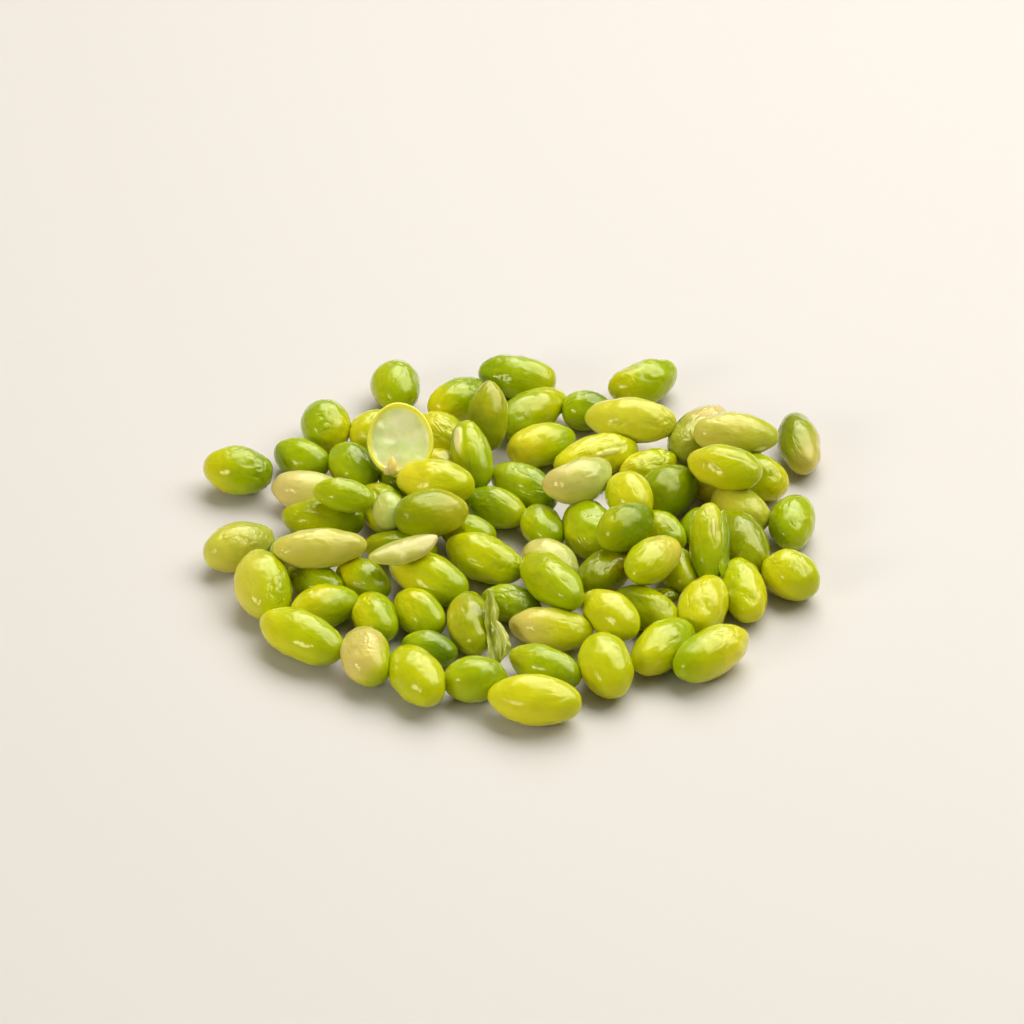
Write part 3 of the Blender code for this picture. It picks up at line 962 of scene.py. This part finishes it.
# %% The opened bean
HALF_BEAN_PROFILE = (  # radius, height in mm, share of rim colour, share of outside colour
    (0.0, -0.9, 0, 0),
    (0.12, -0.9, 0, 0),
    (0.25, -0.85, 0, 0),
    (0.38, -0.8, 0, 0),
    (0.50, -0.75, 0, 0),
    (0.60, -0.7, 0, 0),
    (0.70, -0.65, 0, 0),
    (0.78, -0.6, 0, 0),
    (0.84, -0.5, 0.1, 0),
    (0.875, -0.3, 0.6, 0),
    (0.905, 0.05, 1, 0),
    (0.94, 0.25, 1, 0),
    (0.975, 0.2, 1, 0),
    (1.0, -0.1, 0.9, 0.1),
    (1.01, -0.6, 0.5, 0.5),
)
HULL_RINGS = 14  # from the rim to the middle of the underside


def half_bean():
    axes, centre, size = cut_pose("half_bean")
    length, width, depth = size + (CUT_SWELL, CUT_SWELL, 0.0)

    def shape_at(radius, angle, height):
        x = math.cos(angle) * radius
        y = math.sin(angle) * radius
        flat = (x * length / 2, y * width / 2 * (1 - 0.1 * max(x, 0) ** 2), 0)
        wave = 0.55 * bumps(flat, 0.4, 7) if height < 0 and radius < 0.85 else 0
        edge = 1 + 0.02 * bumps((math.cos(angle) * MM, math.sin(angle) * MM, 0), 1.3, 3)
        # A raised, browner oval near the edge
        oval = math.exp(-(((x - 0.35) / 0.17) ** 2) - ((y - 0.62) / 0.12) ** 2)
        return (flat[0] * edge, flat[1] * edge, (height + wave + oval * 0.35) * MM), oval * 0.4

    hull = []
    for step in range(1, HULL_RINGS + 1):
        turn = math.pi / 2 * step / HULL_RINGS
        radius = 0.0 if step == HULL_RINGS else math.cos(turn)
        hull.append((radius, -0.6 - (depth / MM - 0.6) * math.sin(turn), 0, 1))
    mesh = ringed_mesh("half_bean", (*HALF_BEAN_PROFILE, *hull), shape_at)
    mesh.materials.append(skins["cut_seed_leaf"])
    mesh.transform(as_matrix(axes, centre))
    return finished("opened_bean", mesh, ["half_bean"])


print("opened bean:", len(half_bean().data.polygons), "faces")


# %% The loose seed leaf
SEED_LEAF_MOVE = np.array((0.7, -1.2, 0)) * MM  # aside from its solid


def seed_leaf():
    axes, centre, size = cut_pose("seed_slice")
    length, width, _ = size + CUT_SWELL

    def shape_at(radius, angle, height):
        x = math.cos(angle) * radius
        y = math.sin(angle) * radius
        slim = 1 - 0.28 * abs(math.cos(angle)) ** 3
        wavy = 0.35 * bumps((x * 4 * MM, 0, 0), 0.8, 5) * radius * (y < 0)
        bow = 0.9 * x * x
        place = (x * length / 2, y * width / 2 * slim + wavy * MM, (height + bow - 0.6) * MM)
        return place, 0.35 + max(0.0, x) ** 1.5 * 0.5

    top = [(math.sin(turn), 1.7 * math.cos(turn)) for turn in np.linspace(0, 1.45, 12)]
    under = [(math.cos(turn), -1.6 * math.sin(turn)) for turn in np.linspace(0.1, 1.45, 9)]
    profile = [(radius if radius > 0.001 else 0, h, 0, 1.0) for radius, h in top]
    profile += [(radius, h, 0, 0.6) for radius, h in under] + [(0, -1.65, 0, 0.6)]
    mesh = ringed_mesh("seed_leaf", profile, shape_at)
    mesh.materials.append(skins["cut_seed_leaf"])
    mesh.transform(as_matrix(axes, centre + SEED_LEAF_MOVE))
    return finished("loose_seed_leaf", mesh, ["seed_slice"])


print("loose seed leaf:", len(seed_leaf().data.polygons), "faces")

# %% [markdown]
# ## The loose skin
# A skin that slipped off its bean stands between two others, thin enough to let light through.
# It is two crumpled sheets. Each is a grid of points along a bent line, with long folds and an
# uneven outline from noise, turned a little more at each step. A Solidify modifier makes it thick.


# %% A translucent finish
def thin_skin_material():
    made, tree, shader = wet_material("seed_skin", 0.0, 0.8, 0.1)
    shader.inputs["Transmission Weight"].default_value = 0.2
    place = Field(tree, add_node(tree, "ShaderNodeTexCoord").outputs["Object"])
    place = place.scaled((1 / MM,) * 3)
    cloud = place.scaled((1.6, 0.4, 0.4)).noise(0.6, 2.0, 0.5)
    colour = blended(tree, cloud.ramp(0.4, 0.6), (0.44, 0.50, 0.02, 1), (0.70, 0.73, 0.16, 1))
    finish(tree, shader, colour, place.noise(0.8, 1.0), 0.06 * MM)
    return made


skins["seed_skin"] = thin_skin_material()

# %% The two sheets
SKIN_THICKNESS = 0.18 * MM
SHEET_STEPS = 48  # along a sheet
SHEET_HALF = 8  # steps from its middle to each side


def sheet(name, start, end, bend, width, turns, seed):
    """A crumpled sheet from start to end. bend moves its middle, turns twist its two ends."""
    start, end, bend = [Vector(point) for point in (start, end, bend)]
    along = (end - start).normalized()
    level = Vector((1, 0, 0))
    first = (level - along * level.dot(along)).normalized()
    shape = bmesh.new()
    rows = []
    for step in range(SHEET_STEPS + 1):
        t = step / SHEET_STEPS
        middle = start.lerp(end, t) + bend * (4 * t * (1 - t))
        angle = math.radians(turns[0] + (turns[1] - turns[0]) * t)
        side = Matrix.Rotation(angle, 3, along) @ first
        cup = along.cross(side)
        half = width / 2 * math.sin(math.pi * (0.04 + 0.92 * t)) ** 0.4
        row = []
        for across in range(-SHEET_HALF, SHEET_HALF + 1):
            share = across / SHEET_HALF
            ragged = 1 + 0.45 * bumps((0, share * 2 * MM, t * 14 * MM), 0.45, seed)
            place = middle + side * (share * half * ragged)
            fold = 0.25 * half * math.cos(4.2 * share + 3 * t)
            crumple = 0.3 * MM * bumps(place, 0.5, seed)
            row.append(shape.verts.new(place + cup * (fold + crumple)))
        rows.append(row)
    for near, far in zip(rows, rows[1:]):
        for k in range(len(near) - 1):
            shape.faces.new((near[k], near[k + 1], far[k + 1], far[k])).smooth = True
    mesh = mesh_from(shape, name)
    mesh.materials.append(skins["seed_skin"])
    piece = finished(name, mesh)
    thick = piece.modifiers.new("thickness", "SOLIDIFY")
    thick.thickness = SKIN_THICKNESS
    thick.offset = 0
    return piece


low, high = [Vector(corner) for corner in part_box("loose_skin")]
middle = (low + high) / 2
bottom = Vector((middle.x - 0.4 * MM, low.y - 1.4 * MM, low.z + 0.4 * MM))
peak = Vector((middle.x - 1.9 * MM, high.y - 1.4 * MM, high.z - 0.4 * MM))
whole = sheet("skin_sheet", bottom, peak, (-0.3 * MM, 0, 0), 3.0 * MM, (-10, 40), 9)
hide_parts("loose_skin")
sheet("skin_fold", bottom, bottom.lerp(peak, 0.6), (1.3 * MM, -0.4 * MM, 0), 2.4 * MM, (-30, 20), 4)
print("loose skin, height in mm:", round((peak.z - bottom.z) / MM, 1))

# %% [markdown]
# ## Small things on top
# A peeled bean leans on the heap, a thin flap stands off the split bean, the germ sits on the
# opened one, and a crumb lies on the floor. They are grown by the same tree, thin or small.


# %% A peeled bean, a flap, the germ and a crumb
def beside(pose, offset, size, turn):
    """A pose next to another one: offset and size in mm, turned about its length in degrees."""
    axes, core, _ = pose
    rolled = np.array(Matrix.Rotation(math.radians(turn), 3, "X").transposed()) @ axes
    return rolled, core + axes.T @ (np.array(offset) * MM), np.array(size, float) * MM


def world_pose(place, heading, lift, size):
    """A pose at a place in mm, with the far end turned to a heading and lifted, in degrees."""
    turn = Matrix.Rotation(math.radians(heading), 3, "Z")
    turn = turn @ Matrix.Rotation(math.radians(-lift), 3, "Y")
    return np.array(turn.transposed()), np.array(place) * MM, np.array(size, float) * MM


peeled = world_pose((-22.9, -0.7, 8.2), 100, 20, (7.2, 5.8, 5.0))
grow_bean("peeled_bean", peeled, "pale_seed_leaf", dict(ripe=0.15, wrinkle=0.05, points=20), 201)
flap = beside(poses["bean_top_8"], (-0.5, -2.6, 0.8), (12.4, 3.4, 1.1), 50)
grow_bean("split_flap", flap, "green_skin", dict(ripe=0.35, wrinkle=0.2, points=20), 202)
crumb = world_pose((28.0, -15.4, 0.8), 25, 0, (4.2, 2.4, 1.4))
grow_bean("crumb", crumb, "olive_skin", dict(ripe=0.4, wrinkle=0.4, points=12, uneven=2.5), 203)

axes, centre, size = cut_pose("half_bean")
germ_foot = centre + axes.T @ (np.array((-0.86, 0.30, 0.0)) * size / 2)
germ = (axes, germ_foot + axes[2] * 0.5 * MM + axes[0] * 0.9 * MM, np.array((3.0, 1.1, 0.9)) * MM)
grow_bean("germ", germ, "pale_seed_leaf", dict(ripe=0.9, far_tip=0.1, points=12), 204)
curl = (axes[[1, 0, 2]] * [[-1], [1], [1]], germ_foot, np.array((2.8, 1.4, 1.2)) * MM)
grow_bean("germ_curl", curl, "pale_seed_leaf", dict(ripe=1.0, uneven=2.5, points=12), 205)

# %% [markdown]
# ## Camera, light and floor
# A broad light stands high on the right, like a window. A second one in front of it shows only
# in reflections, for the shine of the water. A small one at the front left adds a warm glint to
# each bean, and the room fills the shadows.

# %% The view
DISTANCE = 0.85
ELEVATION = math.radians(35)
ROLL = math.radians(1.7)
LENS = 161.5  # millimetres: a long lens, so that near and far beans keep their sizes
AIM = Vector((-0.4, 5.4, 4.5)) * MM  # near the heap's middle
WINDOW_WAY = (0.32, 0.42, 0.85)  # right, behind and above
ROOM_LIGHT = 0.20


def add_camera():
    data = bpy.data.cameras.new("view")
    data.lens = LENS
    camera = in_scene("view", data)
    back = Vector((0, -math.cos(ELEVATION), math.sin(ELEVATION)))
    turn = back.to_track_quat("Z", "Y").to_matrix().to_4x4() @ Matrix.Rotation(ROLL, 4, "Z")
    turn.translation = AIM + back * DISTANCE
    camera.matrix_world = turn
    bpy.context.scene.camera = camera


def add_light(name, way, distance, width, height, power, colour, shine_only=False):
    data = bpy.data.lights.new(name, "AREA")
    data.shape = "RECTANGLE"
    data.size = width
    data.size_y = height
    data.energy = power
    data.color = colour
    light = in_scene(name, data)
    light.visible_diffuse = not shine_only
    light.location = Vector(way).normalized() * distance
    light.rotation_euler = Vector(way).to_track_quat("Z", "Y").to_euler()


add_camera()
add_light("window", WINDOW_WAY, 0.9, 1.3, 0.75, 11.8, (1.0, 0.995, 0.975))
add_light("window_shine", WINDOW_WAY, 0.7, 1.5, 0.85, 11.4, (1.0, 0.97, 0.9), True)
add_light("glint", (-0.70, -0.60, 0.38), 0.9, 0.36, 0.24, 2.8, (1.0, 0.98, 0.92))

world = bpy.data.worlds.new("studio")
world.use_nodes = True
world.node_tree.nodes["Background"].inputs["Color"].default_value = (1, 0.985, 0.965, 1)
world.node_tree.nodes["Background"].inputs["Strength"].default_value = ROOM_LIGHT
bpy.context.scene.world = world
bpy.context.scene.view_settings.view_transform = "Standard"


# %% The floor
def add_floor():
    shape = bmesh.new()
    bmesh.ops.create_grid(shape, x_segments=1, y_segments=1, size=1.5)
    mesh = mesh_from(shape, "floor")
    floor = in_scene("floor", mesh)
    made = bpy.data.materials.new("pale_floor")
    made.use_nodes = True
    shader = made.node_tree.nodes["Principled BSDF"]
    shader.inputs["Base Color"].default_value = (0.63, 0.585, 0.535, 1)
    shader.inputs["Roughness"].default_value = 0.6
    mesh.materials.append(made)


add_floor()
